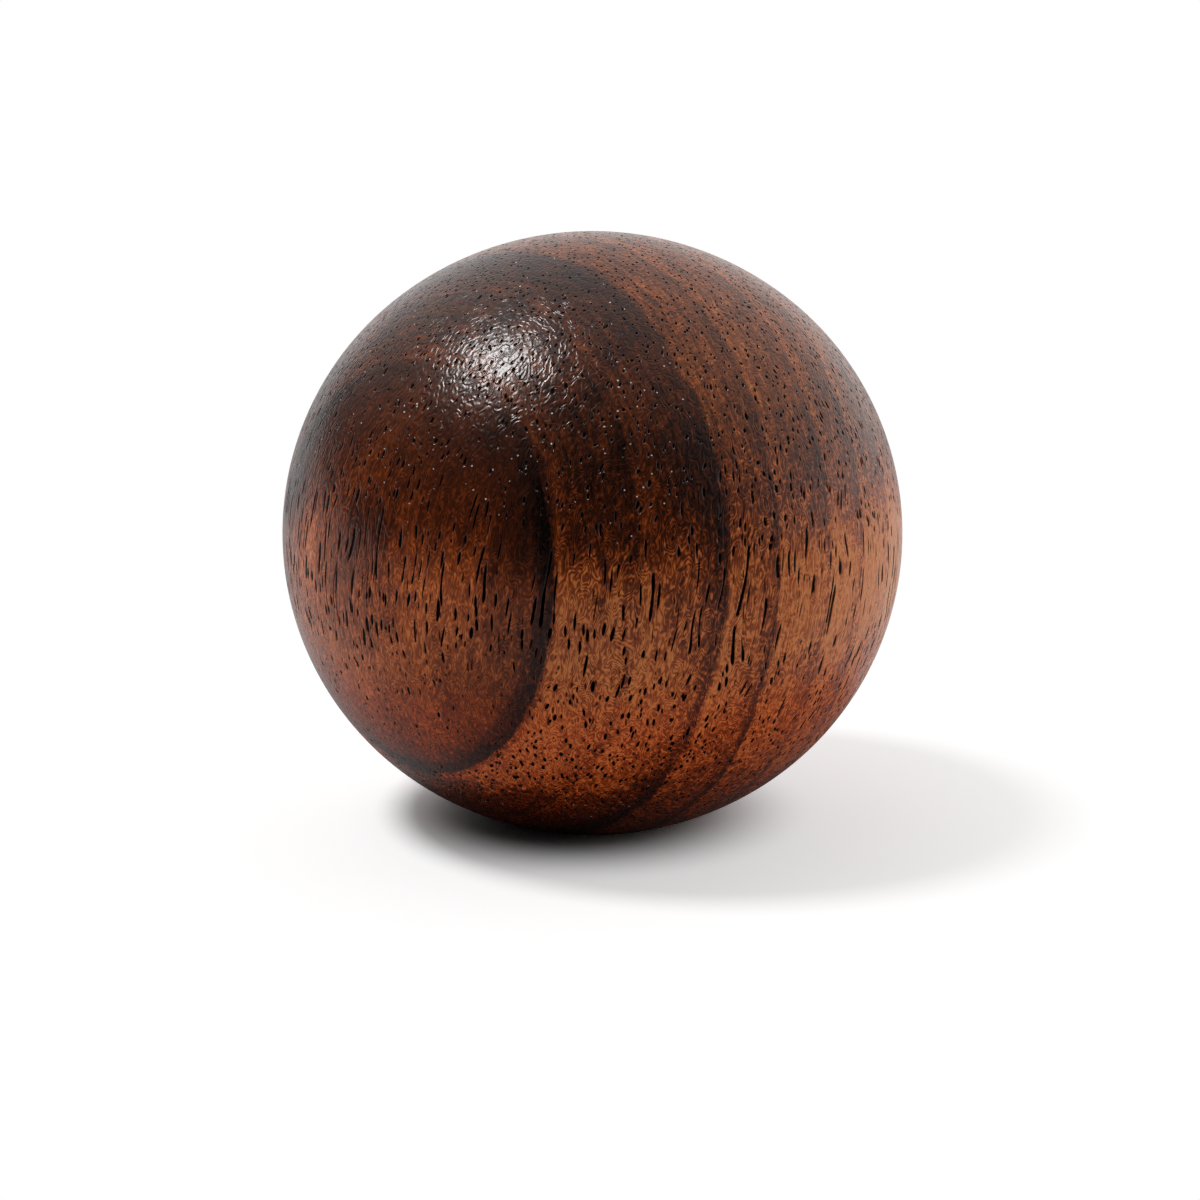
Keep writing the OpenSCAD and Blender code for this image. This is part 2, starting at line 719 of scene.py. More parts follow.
        def build(g: Graph, inputs: Sequence[Socket]) -> Sequence[Socket]:
            """Joins the group's nodes.

            Args:
                g: The group's graph.
                inputs: The group's inputs.

            Returns:
                The group's outputs.
            """
            place, spacing, thickness, share = inputs
            upright = self.leaned(g, place, self.vessel_lean)
            sway = g.shifted(g.noise(upright, self.sway).outputs["Color"], (-0.5, -0.5, -0.5))
            wander = g.scaled(sway, (self.sway.swing, self.sway.swing, 0.0))
            spread = g.vector(VectorSum.DIVIDE, g.shifted(upright, wander), g.joined(spacing, spacing, 1.0))
            cell = g.cells(spread.outputs[0], 1.0, flat=True)
            draw = g.parts(cell.outputs["Color"])
            along = g.level(g.joined(draw[0], draw[1], g.parts(place)[2]), self.vessel_run)
            gap = g.fit(share, *self.vessel_gap)
            present = g.fit(along, gap, g.plus(gap, self.vessel_end))
            radius = g.times(thickness, g.fit(draw[2], *self.vessel_size))
            distance = g.sum(Sum.DIVIDE, g.times(cell.outputs["Distance"], spacing), radius)
            return (g.times(g.fit(distance, *self.tube_edge), present),
                    g.times(g.fit(distance, *self.dip_edge), present))

        return new_group(
            "vessels",
            [("Place", "NodeSocketVector"), ("Spacing", "NodeSocketFloat"),
             ("Thickness", "NodeSocketFloat"), ("Share", "NodeSocketFloat")],
            [("Tube", "NodeSocketFloat"), ("Dip", "NodeSocketFloat")],
            build,
        )

    def fibres_group(self) -> bpy.types.NodeTree:
        """Builds the group that reads the fine curly fibres and the rays that cross them.

        Returns:
            A group that takes the place in mm and the distance from the pith in mm, and gives a
            fleck, from 0 in a dark hollow to 1 on a pale fibre, the ripple of the fibres, a slow
            figure that drifts across the wood, the comb of straight fibres that shows where they
            lie along the surface, and the fine strands that follow the rings.
        """

        def build(g: Graph, inputs: Sequence[Socket]) -> Sequence[Socket]:
            """Joins the group's nodes.

            Args:
                g: The group's graph.
                inputs: The group's inputs.

            Returns:
                The group's outputs.
            """
            place, radius = inputs
            upright = self.leaned(g, place, self.vessel_lean)
            lines = g.level(upright, self.lines)
            wave = g.sum(Sum.SINE, g.times(lines, self.fibre_waves))
            curl = g.fit(g.plus(wave, g.swing(upright, self.grit)), *self.curl)
            ripple = g.sum(Sum.SINE, g.times(lines, self.ripple_waves))
            turn = g.node("ShaderNodeVectorRotate", rotation_type="Z_AXIS")
            g.plug(turn.inputs["Vector"], place)
            g.plug(turn.inputs["Angle"], self.ray_turn)
            ray = g.fit(g.level(turn.outputs[0], self.ray), *self.ray_edge)
            fleck = g.plus(g.times(curl, 1.0 - self.ray_share), g.times(ray, self.ray_share))
            x, y, z = g.parts(place)
            strand = g.swing(g.joined(radius, g.less(y, x), z), self.strand)
            return fleck, ripple, g.level(upright, self.figure), g.swing(upright, self.comb), strand

        return new_group(
            "fibres",
            [("Place", "NodeSocketVector"), ("Radius", "NodeSocketFloat")],
            [("Fleck", "NodeSocketFloat"), ("Ripple", "NodeSocketFloat"),
             ("Figure", "NodeSocketFloat"), ("Comb", "NodeSocketFloat"),
             ("Strand", "NodeSocketFloat")],
            build,
        )


@dataclass(frozen=True)
class VesselSet:
    """Vessels of one size, in mm.

    Attributes:
        spacing: Distance between places that may hold a vessel.
        thickness: Radius of a vessel.
        offset: How far the set is moved, so that no two sets match.
        filled: How the stain narrows or hides the vessels.
    """

    spacing: float
    thickness: float
    offset: tuple[float, float, float]
    filled: Step


@dataclass(frozen=True)
class WalnutFinish:
    """Walnut, as its grain shows under a finish.

    Its scale of tones runs from 0, the darkest stain, which is partly painted shade, past 1, pale
    wood, to the palest fibres.

    Attributes:
        name: The material's name.
        tones: Colours of the wood from the darkest to the palest, each with its place on the scale.
        hollow: Colour in the depth of a vessel.
        painted_sparkle_colour: Colour of a painted sparkle, a speck of reflected light put into the base
            colour.
        blush: Change of colour low on the ball.
        blush_zone: Where that change sets in.
        painted_sky_sheen: Change of colour high on the ball, a painted sheen that stands for the sky's
            reflection.
        painted_sky_sheen_zone: Where that painted sheen sets in.
        plain: Place on the scale of the plain wood between the rings.
        rough: Roughness of the finish.
        hollow_rough: How much rougher a vessel is.
        bend: Index of refraction of the finish.
        middle: Height of the middle of the ball, in metres.
        large: The open vessels that show as strokes and dots.
        small: The fine vessels between them.
        small_share: Share of places that hold a small vessel.
        small_depth: How dark a small vessel is.
        spread: Share of places that hold a large vessel.
        crowded: Where more places hold one.
        sparse: Where fewer places hold one.
        fleck_middle: Level of a fleck that leaves the tone as it is.
        fleck_weight: How much the flecks show.
        figure_weight: How much the slow figure shows.
        comb_weight: How much the straight fibres show.
        strand_weight: How much the strands along the rings show.
        painted_rim_light: How much paler the wood is in the dip around a vessel, a painted highlight on its
            rim.
        changes: Parts of the wood that are paler or darker than the rest, each with how much: the
        start of a season, the low part between the first two rings, the belt in front, which is
        painted light as from a soft lamp on the right, the belt behind, the far wood, and the heart
        inside the first ring.
        stain_and_shade_weight: How much the stain darkens the wood, partly as painted shade.
        ring_weight: How much the rings do, by the depth of the stain.
        painted_sparkle_cells: Painted sparkles for each mm.
        painted_sparkle_size: Size of a spark.
        painted_sparkle_draw: Which of the painted sparkles are lit, by chance.
        painted_sparkle_zone: Where painted sparkles show.
        pit_depth: Depth of a vessel in the relief, in mm.
        ripple_depth: Depth of the ripples in the relief, in mm.
    """

    name: str
    tones: tuple[tuple[float, Colour], ...] = (
        (0.00, (0.0020, 0.0012, 0.0010)),
        (0.25, (0.030, 0.0070, 0.0028)),
        (0.45, (0.088, 0.016, 0.0040)),
        (0.65, (0.24, 0.045, 0.008)),
        (0.82, (0.48, 0.095, 0.0145)),
        (1.00, (0.82, 0.215, 0.046)),
        (1.25, (0.95, 0.32, 0.085)),
    )
    hollow: Colour = (0.004, 0.002, 0.0015)
    painted_sparkle_colour: Colour = (0.95, 0.92, 0.88)
    blush: Colour = (1.10, 0.82, 0.66)
    blush_zone: Step = Step(-3.0, -7.0)
    painted_sky_sheen: Colour = (0.88, 1.12, 1.50)
    painted_sky_sheen_zone: Step = Step(3.0, 9.0)
    plain: float = 0.87
    rough: float = 0.26
    hollow_rough: float = 0.35
    bend: float = 1.45
    middle: float = 14.79 * MM
    large: VesselSet = VesselSet(0.36, 0.080, (0.0, 0.0, 0.0), Step(0.0, 0.9, 1.0, 0.75))
    small: VesselSet = VesselSet(0.35, 0.05, (31.0, 17.0, 0.0), Step(0.0, 1.0, 1.0, 0.5))
    small_share: float = 0.5
    small_depth: float = 0.8
    spread: Region = ((Measure.SEASON, Step(0.0, 0.8, 0.72, 0.50)),)
    crowded: Region = (
        (Measure.HEIGHT, Step(3.6, 1.8)),
        (Measure.RADIUS, Step(62.5, 61.0, 0.14, 0.56)),
    )
    sparse: Region = (
        (Measure.RADIUS, Step(62.0, 61.0)),
        (Measure.RISE, Step(-1.4, -2.6, 0.0, 0.34)),
    )
    fleck_middle: float = 0.36
    fleck_weight: Region = (
        (Measure.RADIUS, Step(60.5, 62.5, 0.30, 0.55)),
        (Measure.RADIUS, Step(64.0, 69.0, 1.15, 1.0)),
        (Measure.STAIN, Step(0.4, 1.0, 1.0, 0.7)),
        (Measure.RISE, Step(4.0, 9.0, 1.0, 0.55)),
    )
    figure_weight: float = 0.30
    comb_weight: Region = ((Measure.HEIGHT, Step(6.0, 2.0, 0.2, 0.6)),)
    strand_weight: Region = (
        (Measure.RISE, Step(2.0, 7.0, 0.15, 0.55)),
        (Measure.RADIUS, Step(61.0, 62.5, 0.4, 1.0)),
    )
    painted_rim_light: float = 0.12
    changes: tuple[Region, ...] = (
        ((Measure.SEASON, Step(0.40, 0.0, 0.0, 0.09)),),
        (
            (Measure.RADIUS, Step(61.4, 62.4)),
            (Measure.RADIUS, Step(70.0, 67.0)),
            (Measure.RISE, Step(1.0, -2.0, 0.0, 0.09)),
        ),
        # The belt in front, paler on the right: painted light, as from a soft lamp on that side.
        (
            (Measure.HEIGHT, Step(5.0, 1.0)),
            (Measure.RADIUS, Step(68.0, 79.0, 0.0, 0.24)),
            (Measure.BACK, Step(0.5, 7.0, 1.0, 0.0)),
        ),
        ((Measure.HEIGHT, Step(5.0, 1.0)), (Measure.BACK, Step(2.0, 9.0, 0.0, -0.10))),
        (
            (Measure.RADIUS, Step(68.0, 80.0, 0.0, 0.11, smooth=False)),
            (Measure.RISE, Step(3.0, 8.0, 1.0, 0.5)),
        ),
        ((Measure.RADIUS, Step(61.2, 61.6, -0.09, 0.0)), (Measure.RISE, Step(3.0, 8.0, 1.0, -0.4))),
    )
    stain_and_shade_weight: float = 0.52
    ring_weight: Step = Step(0.0, 1.0, 0.40, 0.28)
    painted_sparkle_cells: float = 3.2
    painted_sparkle_size: Step = Step(0.17, 0.10)
    painted_sparkle_draw: Step = Step(0.66, 0.68)
    painted_sparkle_zone: Region = ((Measure.STAIN, Step(0.6, 0.85)), (Measure.FIGURE, Step(0.42, 0.55)))
    pit_depth: float = 0.06
    ripple_depth: float = 0.0052

    def place(self, g: Graph) -> Socket:
        """Reads the place in mm from the middle of the ball.

        Args:
            g: The graph to work in.

        Returns:
            The place.
        """
        mapping = g.node("ShaderNodeMapping", vector_type="POINT")
        g.plug(mapping.inputs["Vector"], g.node("ShaderNodeTexCoord").outputs["Object"])
        g.plug(mapping.inputs["Scale"], (1.0 / MM,) * 3)
        g.plug(mapping.inputs["Location"], (0.0, 0.0, -self.middle / MM))
        return mapping.outputs[0]

    def vessels(self, g: Graph, place: Value, wood: dict[Measure, Socket]) -> Sequence[Socket]:
        """Places both sets of vessels.

        Args:
            g: The graph to work in.
            place: The place in mm.
            wood: The measures of the spot.

        Returns:
            The mask of the hollows, the dip around a large vessel, and the pale ring around any vessel,
            where a painted rim highlight goes.
        """
        stain = wood[Measure.STAIN]
        share = g.plus(g.within(wood, self.spread), g.within(wood, self.crowded))
        share = g.less(share, g.within(wood, self.sparse))
        width = g.times(g.fit(stain, *self.large.filled), self.large.thickness)
        large, large_dip = placed(g, "vessels", place, self.large.spacing, width, share)
        small, small_dip = placed(g, "vessels", g.shifted(place, self.small.offset),
                                  self.small.spacing, self.small.thickness, self.small_share)
        small = g.times(small, g.fit(stain, *self.small.filled), self.small_depth)
        tube = g.sum(Sum.MAXIMUM, large, small)
        return tube, large_dip, g.less(g.sum(Sum.MAXIMUM, large_dip, small_dip), tube)

    def painted_sparkles(self, g: Graph, place: Value, wood: dict[Measure, Socket]) -> Socket:
        """Scatters small painted sparkles over the dark zone: pale specks in the base colour that stand for
        points of reflected light.

        Args:
            g: The graph to work in.
            place: The place in mm.
            wood: The measures of the spot.

        Returns:
            The mask of the painted sparkles.
        """
        cell = g.cells(place, self.painted_sparkle_cells)
        spot = g.fit(cell.outputs["Distance"], *self.painted_sparkle_size)
        lit = g.fit(g.parts(cell.outputs["Color"])[0], *self.painted_sparkle_draw)
        return g.times(spot, lit, g.within(wood, self.painted_sparkle_zone))

    def flesh(self, g: Graph, tone: Value, rise: Value) -> Socket:
        """Turns a tone into the colour of the wood, with its change of colour low on the ball and a painted
        sheen of the sky's reflection high on it.

        Args:
            g: The graph to work in.
            tone: Place on the scale of tones.
            rise: Height above the middle of the ball in mm.

        Returns:
            The colour.
        """
        top = self.tones[-1][0]
        colour = g.ramp(g.times(tone, 1.0 / top), [(at / top, colour) for at, colour in self.tones])
        colour = g.mix(g.fit(rise, *self.blush_zone), colour, g.scaled(colour, self.blush))
        # Painted sheen of the sky's reflection, a cooler colour high on the ball.
        return g.mix(g.fit(rise, *self.painted_sky_sheen_zone), colour, g.scaled(colour, self.painted_sky_sheen))

    def material(self) -> bpy.types.Material:
        """Builds the material.

        Returns:
            The walnut material.
        """
        material, g, shader = new_material(self.name)
        place = self.place(g)
        darkness, season, radius = placed(g, "growth_rings", place)
        stain = placed(g, "heart_stain_and_shade", place, radius)[0]
        fleck, ripple, figure, comb, strand = placed(g, "fibres", place, radius)
        _, back, rise = g.parts(place)
        wood = {
            Measure.RADIUS: radius,
            Measure.SEASON: season,
            Measure.STAIN: stain,
            Measure.FIGURE: figure,
            Measure.RISE: rise,
            Measure.HEIGHT: g.sum(Sum.ABSOLUTE, rise),
            Measure.BACK: back,
        }
        tube, pit, painted_rim_light = self.vessels(g, place, wood)
        light = g.plus(
            g.times(g.less(fleck, self.fleck_middle), g.within(wood, self.fleck_weight)),
            g.times(g.less(figure, 0.5), self.figure_weight),
            g.times(comb, g.within(wood, self.comb_weight)),
            g.times(strand, g.within(wood, self.strand_weight)),
            *(g.within(wood, region) for region in self.changes),
            # Painted highlight on the rims of the vessels.
            g.times(painted_rim_light, self.painted_rim_light),
            self.plain,
        )
        lines = g.times(darkness, g.fit(stain, *self.ring_weight))
        # The dark zone darkens the wood high on the ball and at its foot, partly as painted shade.
        dark = g.plus(g.times(stain, self.stain_and_shade_weight), lines)
        colour = g.mix(tube, self.flesh(g, g.less(light, dark), rise), self.hollow)
        # Painted sparkles: pale specks of reflected light put into the base colour.
        colour = g.mix(self.painted_sparkles(g, place, wood), colour, self.painted_sparkle_colour)
        g.plug(shader.inputs["Base Color"], colour)
        g.plug(shader.inputs["Roughness"], g.plus(g.times(tube, self.hollow_rough), self.rough))
        g.plug(shader.inputs["Metallic"], tube)
        g.plug(shader.inputs["IOR"], self.bend)
        relief = g.plus(g.times(pit, -self.pit_depth), g.times(ripple, self.ripple_depth))
        g.plug(shader.inputs["Normal"], g.bump(relief, MM))
        return material


@dataclass(frozen=True)
class BrassFinish:
    """Machined brass.

    Attributes:
        name: The material's name.
        colour: Colour of the bright metal.
        dull: Colour where it has dulled.
        haze: Noise that sets where it has dulled, in waves for each mm.
        dulled: How dull and bright metal are told apart.
        rough: Roughness, by the same noise.
        cuts: Turning marks, read by distance from the axis and height.
        cut_depth: Depth of the marks.
        cut_strength: How much of their relief shows.
    """

    name: str = "machined_brass"
    colour: Colour = (0.80, 0.58, 0.25)
    dull: Colour = (0.48, 0.32, 0.12)
    haze: Weave = Weave((1.0, 1.0, 1.0), 1.4, 3.0)
    dulled: Step = Step(0.4, 0.7)
    rough: Step = Step(0.3, 0.7, 0.22, 0.42)
    cuts: Weave = Weave((1.0, 1.0, 1.0), 22.0, 1.0)
    cut_depth: float = 0.01 * MM
    cut_strength: float = 0.4

    def material(self) -> bpy.types.Material:
        """Builds the material.

        Returns:
            The brass material.
        """
        material, g, shader = new_material(self.name)
        place = g.scaled(g.node("ShaderNodeTexCoord").outputs["Object"], (1.0 / MM,) * 3)
        haze = g.level(place, self.haze)
        x, y, z = g.parts(place)
        cuts = g.level(g.joined(g.length(g.joined(x, y, 0.0)), 0.0, z), self.cuts)
        g.plug(shader.inputs["Base Color"], g.mix(g.fit(haze, *self.dulled), self.colour, self.dull))
        g.plug(shader.inputs["Metallic"], 1.0)
        g.plug(shader.inputs["Roughness"], g.fit(haze, *self.rough))
        g.plug(shader.inputs["Normal"], g.bump(cuts, self.cut_depth, self.cut_strength))
        return material


def only(piece: bpy.types.Object) -> None:
    """Selects one object alone and makes it active.

    Args:
        piece: The object.
    """
    bpy.ops.object.select_all(action="DESELECT")
    piece.select_set(True)
    bpy.context.view_layer.objects.active = piece


def start_point(place: Vector) -> bpy.types.Object:
    """Starts a mesh with a single vertex, selected in edit mode.

    Args:
        place: Where the vertex goes.

    Returns:
        The new object.
    """
    bpy.ops.object.select_all(action="DESELECT")
    bpy.ops.mesh.primitive_plane_add(size=MM, location=(0.0, 0.0, 0.0))
    piece = bpy.context.object
    bpy.ops.object.mode_set(mode="EDIT")
    bpy.ops.mesh.select_all(action="SELECT")
    bpy.ops.mesh.merge(type="CENTER")
    bpy.ops.transform.translate(value=tuple(place))
    bpy.ops.mesh.select_mode(type="VERT")
    return piece


def draw_line(x: float, z: float) -> None:
    """Draws a straight line on from the selected vertex."""
    bpy.ops.mesh.extrude_region_move(TRANSFORM_OT_translate={"value": (x, 0.0, z)})


def weld(distance: float) -> None:
    """Merges all vertices that lie closer than a distance."""
    bpy.ops.mesh.select_all(action="SELECT")
    bpy.ops.mesh.remove_doubles(threshold=distance)


@dataclass
class TurnedBall:
    """The turned walnut ball with its seat and bore, in metres.

    Its section is a four-centre oval, whose centres lie beside the axis for the belly and past the
    middle for the crown and the foot.

    Attributes:
        diameter: Diameter of the belly.
        height: Height from the seat to the crown.
        flattening: How much lower the crown is than on a true sphere.
        rim_radius: Radius of the seat's eased rim.
        bore_radius: Radius of the bore for the insert.
        bore_depth: Depth of the bore to the shoulder of the drill point.
        mouth_chamfer: Width of the chamfer at the bore's mouth.
        drill_angle: Included angle of the drill point.
        belly_share: How far the belly arc's centre lies off the axis, in flattenings.
        crown_share: How far the crown and foot arcs' centres lie past the middle, in flattenings.
        turns: Steps around the axis.
        arc_step: Angle between the rows of the profile.
        seat_rows: Rows across the flat of the seat.
        bore_rows: Rows along the wall of the bore.
        sharp: Angle past which an edge is shaded sharp.
        tile_fill: Share of its texture tile that a side fills, across and up.
        slack: How much past its own size the bore is looked for.
    """

    diameter: float
    height: float
    flattening: float = 0.43 * MM
    rim_radius: float = 1.0 * MM
    bore_radius: float = 3.03 * MM
    bore_depth: float = 14.0 * MM
    mouth_chamfer: float = 0.3 * MM
    drill_angle: float = math.radians(118.0)
    belly_share: float = 1.5
    crown_share: float = 2.0
    turns: int = 384
    arc_step: float = math.radians(0.78)
    seat_rows: int = 2
    bore_rows: int = 4
    sharp: float = math.radians(30.0)
    tile_fill: tuple[float, float] = (0.95, 0.96)
    slack: float = 1.001

    @property
    def middle(self) -> float:
        """Height of the middle of the ball."""
        return self.height - (self.diameter / 2.0 - self.flattening)

    @property
    def drill_tip(self) -> float:
        """Length of the cone that the drill leaves."""
        return self.bore_radius / math.tan(self.drill_angle / 2.0)

    def sweep(self, centre: Vector, angle: float) -> None:
        """Draws an arc on from the selected vertex, in the plane of the profile.

        Args:
            centre: The arc's centre.
            angle: How far it turns, downwards on the right of its centre.
        """
        steps = max(3, round(angle / self.arc_step))
        bpy.ops.mesh.spin(steps=steps, angle=angle, center=centre, axis=(0.0, -1.0, 0.0))

    def draw_profile(self) -> None:
        """Draws the half section from the crown round to the tip of the bore."""
        belly_shift = self.belly_share * self.flattening
        crown_shift = self.crown_share * self.flattening
        crown_radius = self.diameter / 2.0 + self.flattening
        shoulder = math.atan2(belly_shift, crown_shift)
        foot_centre = self.middle + crown_shift
        rim_x = math.sqrt((crown_radius - self.rim_radius) ** 2 - (foot_centre - self.rim_radius) ** 2)
        rim_turn = math.atan2(rim_x, foot_centre - self.rim_radius)
        mouth = self.bore_radius + self.mouth_chamfer
        self.sweep(Vector((0.0, 0.0, self.middle - crown_shift)), shoulder)
        self.sweep(Vector((belly_shift, 0.0, self.middle)), math.pi - 2.0 * shoulder)
        self.sweep(Vector((0.0, 0.0, foot_centre)), shoulder - rim_turn)
        self.sweep(Vector((rim_x, 0.0, self.rim_radius)), rim_turn)
        for _ in range(self.seat_rows):
            draw_line((mouth - rim_x) / self.seat_rows, 0.0)
        draw_line(-self.mouth_chamfer, self.mouth_chamfer)
        for _ in range(self.bore_rows):
            draw_line(0.0, (self.bore_depth - self.mouth_chamfer) / self.bore_rows)
        draw_line(-self.bore_radius, self.drill_tip)

    def facing(self, spot: Vector) -> Vector:
        """Finds which way a point of the ball faces, as if the bore were drawn flat on the seat.

        Args:
            spot: The point.

        Returns:
            The direction from the middle of the ball.
        """
        mouth = self.bore_radius + self.mouth_chamfer
        tip = self.bore_depth + self.drill_tip
        across = math.hypot(spot.x, spot.y)
        if across < self.slack * mouth and spot.z < self.slack * tip:
            flat = mouth * max(0.0, 1.0 - spot.z / tip) / across if across > 0.0 else 0.0
            spot = Vector((spot.x * flat, spot.y * flat, 0.0))
        return spot - Vector((0.0, 0.0, self.middle))

    def unwrap(self, piece: bpy.types.Object) -> None:
        """Lays the surface out on six even tiles, one for each way it faces, for its textures.

        Args:
            piece: The ball.
        """
        mesh = piece.data
        ways = [self.facing(vertex.co) for vertex in mesh.vertices]
        layer = mesh.uv_layers.new(name="OFBake")
        wide, high = self.tile_fill
        for face in mesh.polygons:
            mean = sum((ways[corner] for corner in face.vertices), Vector())
            axis = max(range(3), key=lambda number: abs(mean[number]))
            sign = 1.0 if mean[axis] > 0.0 else -1.0
            first, second = ((1, 2), (0, 2), (0, 1))[axis]
            turn = (sign, -sign, sign)[axis]
            for loop in face.loop_indices:
                way = ways[mesh.loops[loop].vertex_index]
                depth = abs(way[axis])
                u = turn * math.atan2(way[first], depth) / (math.pi / 2.0)
                v = math.atan2(way[second], depth) / (math.pi / 2.0)
                column, row = axis + 0.5 + wide * u, (sign > 0.0) + 0.5 + high * v
                layer.data[loop].uv = (column / 3.0, row / 2.0)

    def build(self) -> bpy.types.Object:
        """Models the ball.

        Returns:
            The finished piece.
        """
        piece = start_point(Vector((0.0, 0.0, self.height)))
        piece.name = "turned_ball"
        self.draw_profile()
        bpy.ops.mesh.select_all(action="SELECT")
        bpy.ops.mesh.spin(steps=self.turns, angle=2.0 * math.pi, center=(0.0, 0.0, 0.0),
                          axis=(0.0, 0.0, 1.0))
        weld(WELD)
        bpy.ops.mesh.normals_make_consistent(inside=False)
        bpy.ops.object.mode_set(mode="OBJECT")
        bpy.ops.object.shade_smooth_by_angle(angle=self.sharp)
        self.unwrap(piece)
        return piece


@dataclass
class ScrewInsert:
    """The knurled brass insert with its cut thread, in metres.

    Attributes:
        low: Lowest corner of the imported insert.
        high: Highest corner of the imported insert.
        screw_diameter: Diameter of the screw.
        pitch: Pitch of its thread.
        tap_radius: Radius of the hole before the thread is cut.
        flank: Angle of the thread's flanks to the plane across the screw.
        crest_share: Width of the thread's crest, as a share of the pitch.
        overcut: How far the tap reaches inside the wall of the hole.
        facets: Steps around one turn of the thread.
        sharp: Angle past which an edge is shaded sharp.
    """

    low: Vector
    high: Vector
    screw_diameter: float = 4.0 * MM
    pitch: float = 0.7 * MM
    tap_radius: float = 1.65 * MM
    flank: float = math.radians(30.0)
    crest_share: float = 0.125
    overcut: float = 0.02 * MM
    facets: int = 48
    sharp: float = math.radians(28.0)

    def draw_thread(self) -> None:
        """Draws the section of one turn of the tap, on from the vertex at its foot."""
        reach = self.screw_diameter / 2.0 - self.tap_radius + self.overcut
        rise = reach * math.tan(self.flank)
        crest = self.crest_share * self.pitch
        gap = self.pitch - crest - 2.0 * rise
        for x, z in ((reach, rise), (0.0, crest), (-reach, rise), (0.0, gap)):
            draw_line(x, z)

    def wind(self, piece: bpy.types.Object, turns: int) -> None:
        """Winds the section up into a screw.

        Args:
            piece: The section.
            turns: How many turns it takes.
        """
        screw = piece.modifiers.new("Screw", "SCREW")
        screw.axis = "Z"
        screw.angle = 2.0 * math.pi
        screw.screw_offset = self.pitch
        screw.iterations = turns
        screw.steps = self.facets
        screw.render_steps = self.facets
        screw.use_merge_vertices = True
        screw.merge_threshold = 2.0 * WELD
        only(piece)
        bpy.ops.object.modifier_apply(modifier=screw.name)

    def close_end(self, piece: bpy.types.Object, side: float) -> None:
        """Closes one open end of the tap, in edit mode.

        Args:
            piece: The tap.
            side: 1 for the upper end and -1 for the lower.
        """
        bpy.ops.mesh.select_mode(type="VERT")
        bpy.ops.mesh.select_all(action="DESELECT")
        bpy.ops.mesh.select_non_manifold()
        bpy.ops.object.mode_set(mode="OBJECT")
        middle = (self.low.z + self.high.z) / 2.0
        for vertex in piece.data.vertices:
            vertex.select = vertex.select and (vertex.co.z - middle) * side > 0.0
        bpy.ops.object.mode_set(mode="EDIT")
        bpy.ops.mesh.extrude_region_move(TRANSFORM_OT_translate={"value": (0.0, 0.0, side * self.pitch)})
        bpy.ops.mesh.merge(type="CENTER")

    def tap(self) -> bpy.types.Object:
        """Models the tap that cuts the thread: a screw longer than the insert.

        Returns:
            The tap, which is only used to cut.
        """
        bottom = self.low.z - 2.0 * self.pitch
        piece = start_point(Vector((self.tap_radius - self.overcut, 0.0, bottom)))
        self.draw_thread()
        bpy.ops.object.mode_set(mode="OBJECT")
        self.wind(piece, math.ceil((self.high.z - bottom) / self.pitch) + 1)
        bpy.ops.object.mode_set(mode="EDIT")
        weld(2.0 * WELD)
        for side in (-1.0, 1.0):
            self.close_end(piece, side)
        bpy.ops.mesh.select_all(action="SELECT")
        bpy.ops.mesh.normals_make_consistent(inside=False)
        bpy.ops.object.mode_set(mode="OBJECT")
        return piece

    def build(self, node: bpy.types.Object) -> bpy.types.Object:
        """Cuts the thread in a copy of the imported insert.

        Args:
            node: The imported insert.

        Returns:
            The finished piece.
        """
        tap = self.tap()
        piece = node.copy()
        piece.data = node.data.copy()
        piece.parent = None
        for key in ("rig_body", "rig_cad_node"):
            del piece[key]
        piece.name = "screw_insert"
        bpy.context.scene.collection.objects.link(piece)
        only(piece)
        bpy.ops.object.mode_set(mode="EDIT")
        weld(WELD)
        bpy.ops.object.mode_set(mode="OBJECT")
        cut = piece.modifiers.new("Thread", "BOOLEAN")
        cut.operation = "DIFFERENCE"
        cut.solver = "EXACT"
        cut.object = tap
        bpy.ops.object.modifier_apply(modifier=cut.name)
        bpy.data.objects.remove(tap)
        only(piece)
        bpy.ops.object.shade_smooth_by_angle(angle=self.sharp)
        return piece


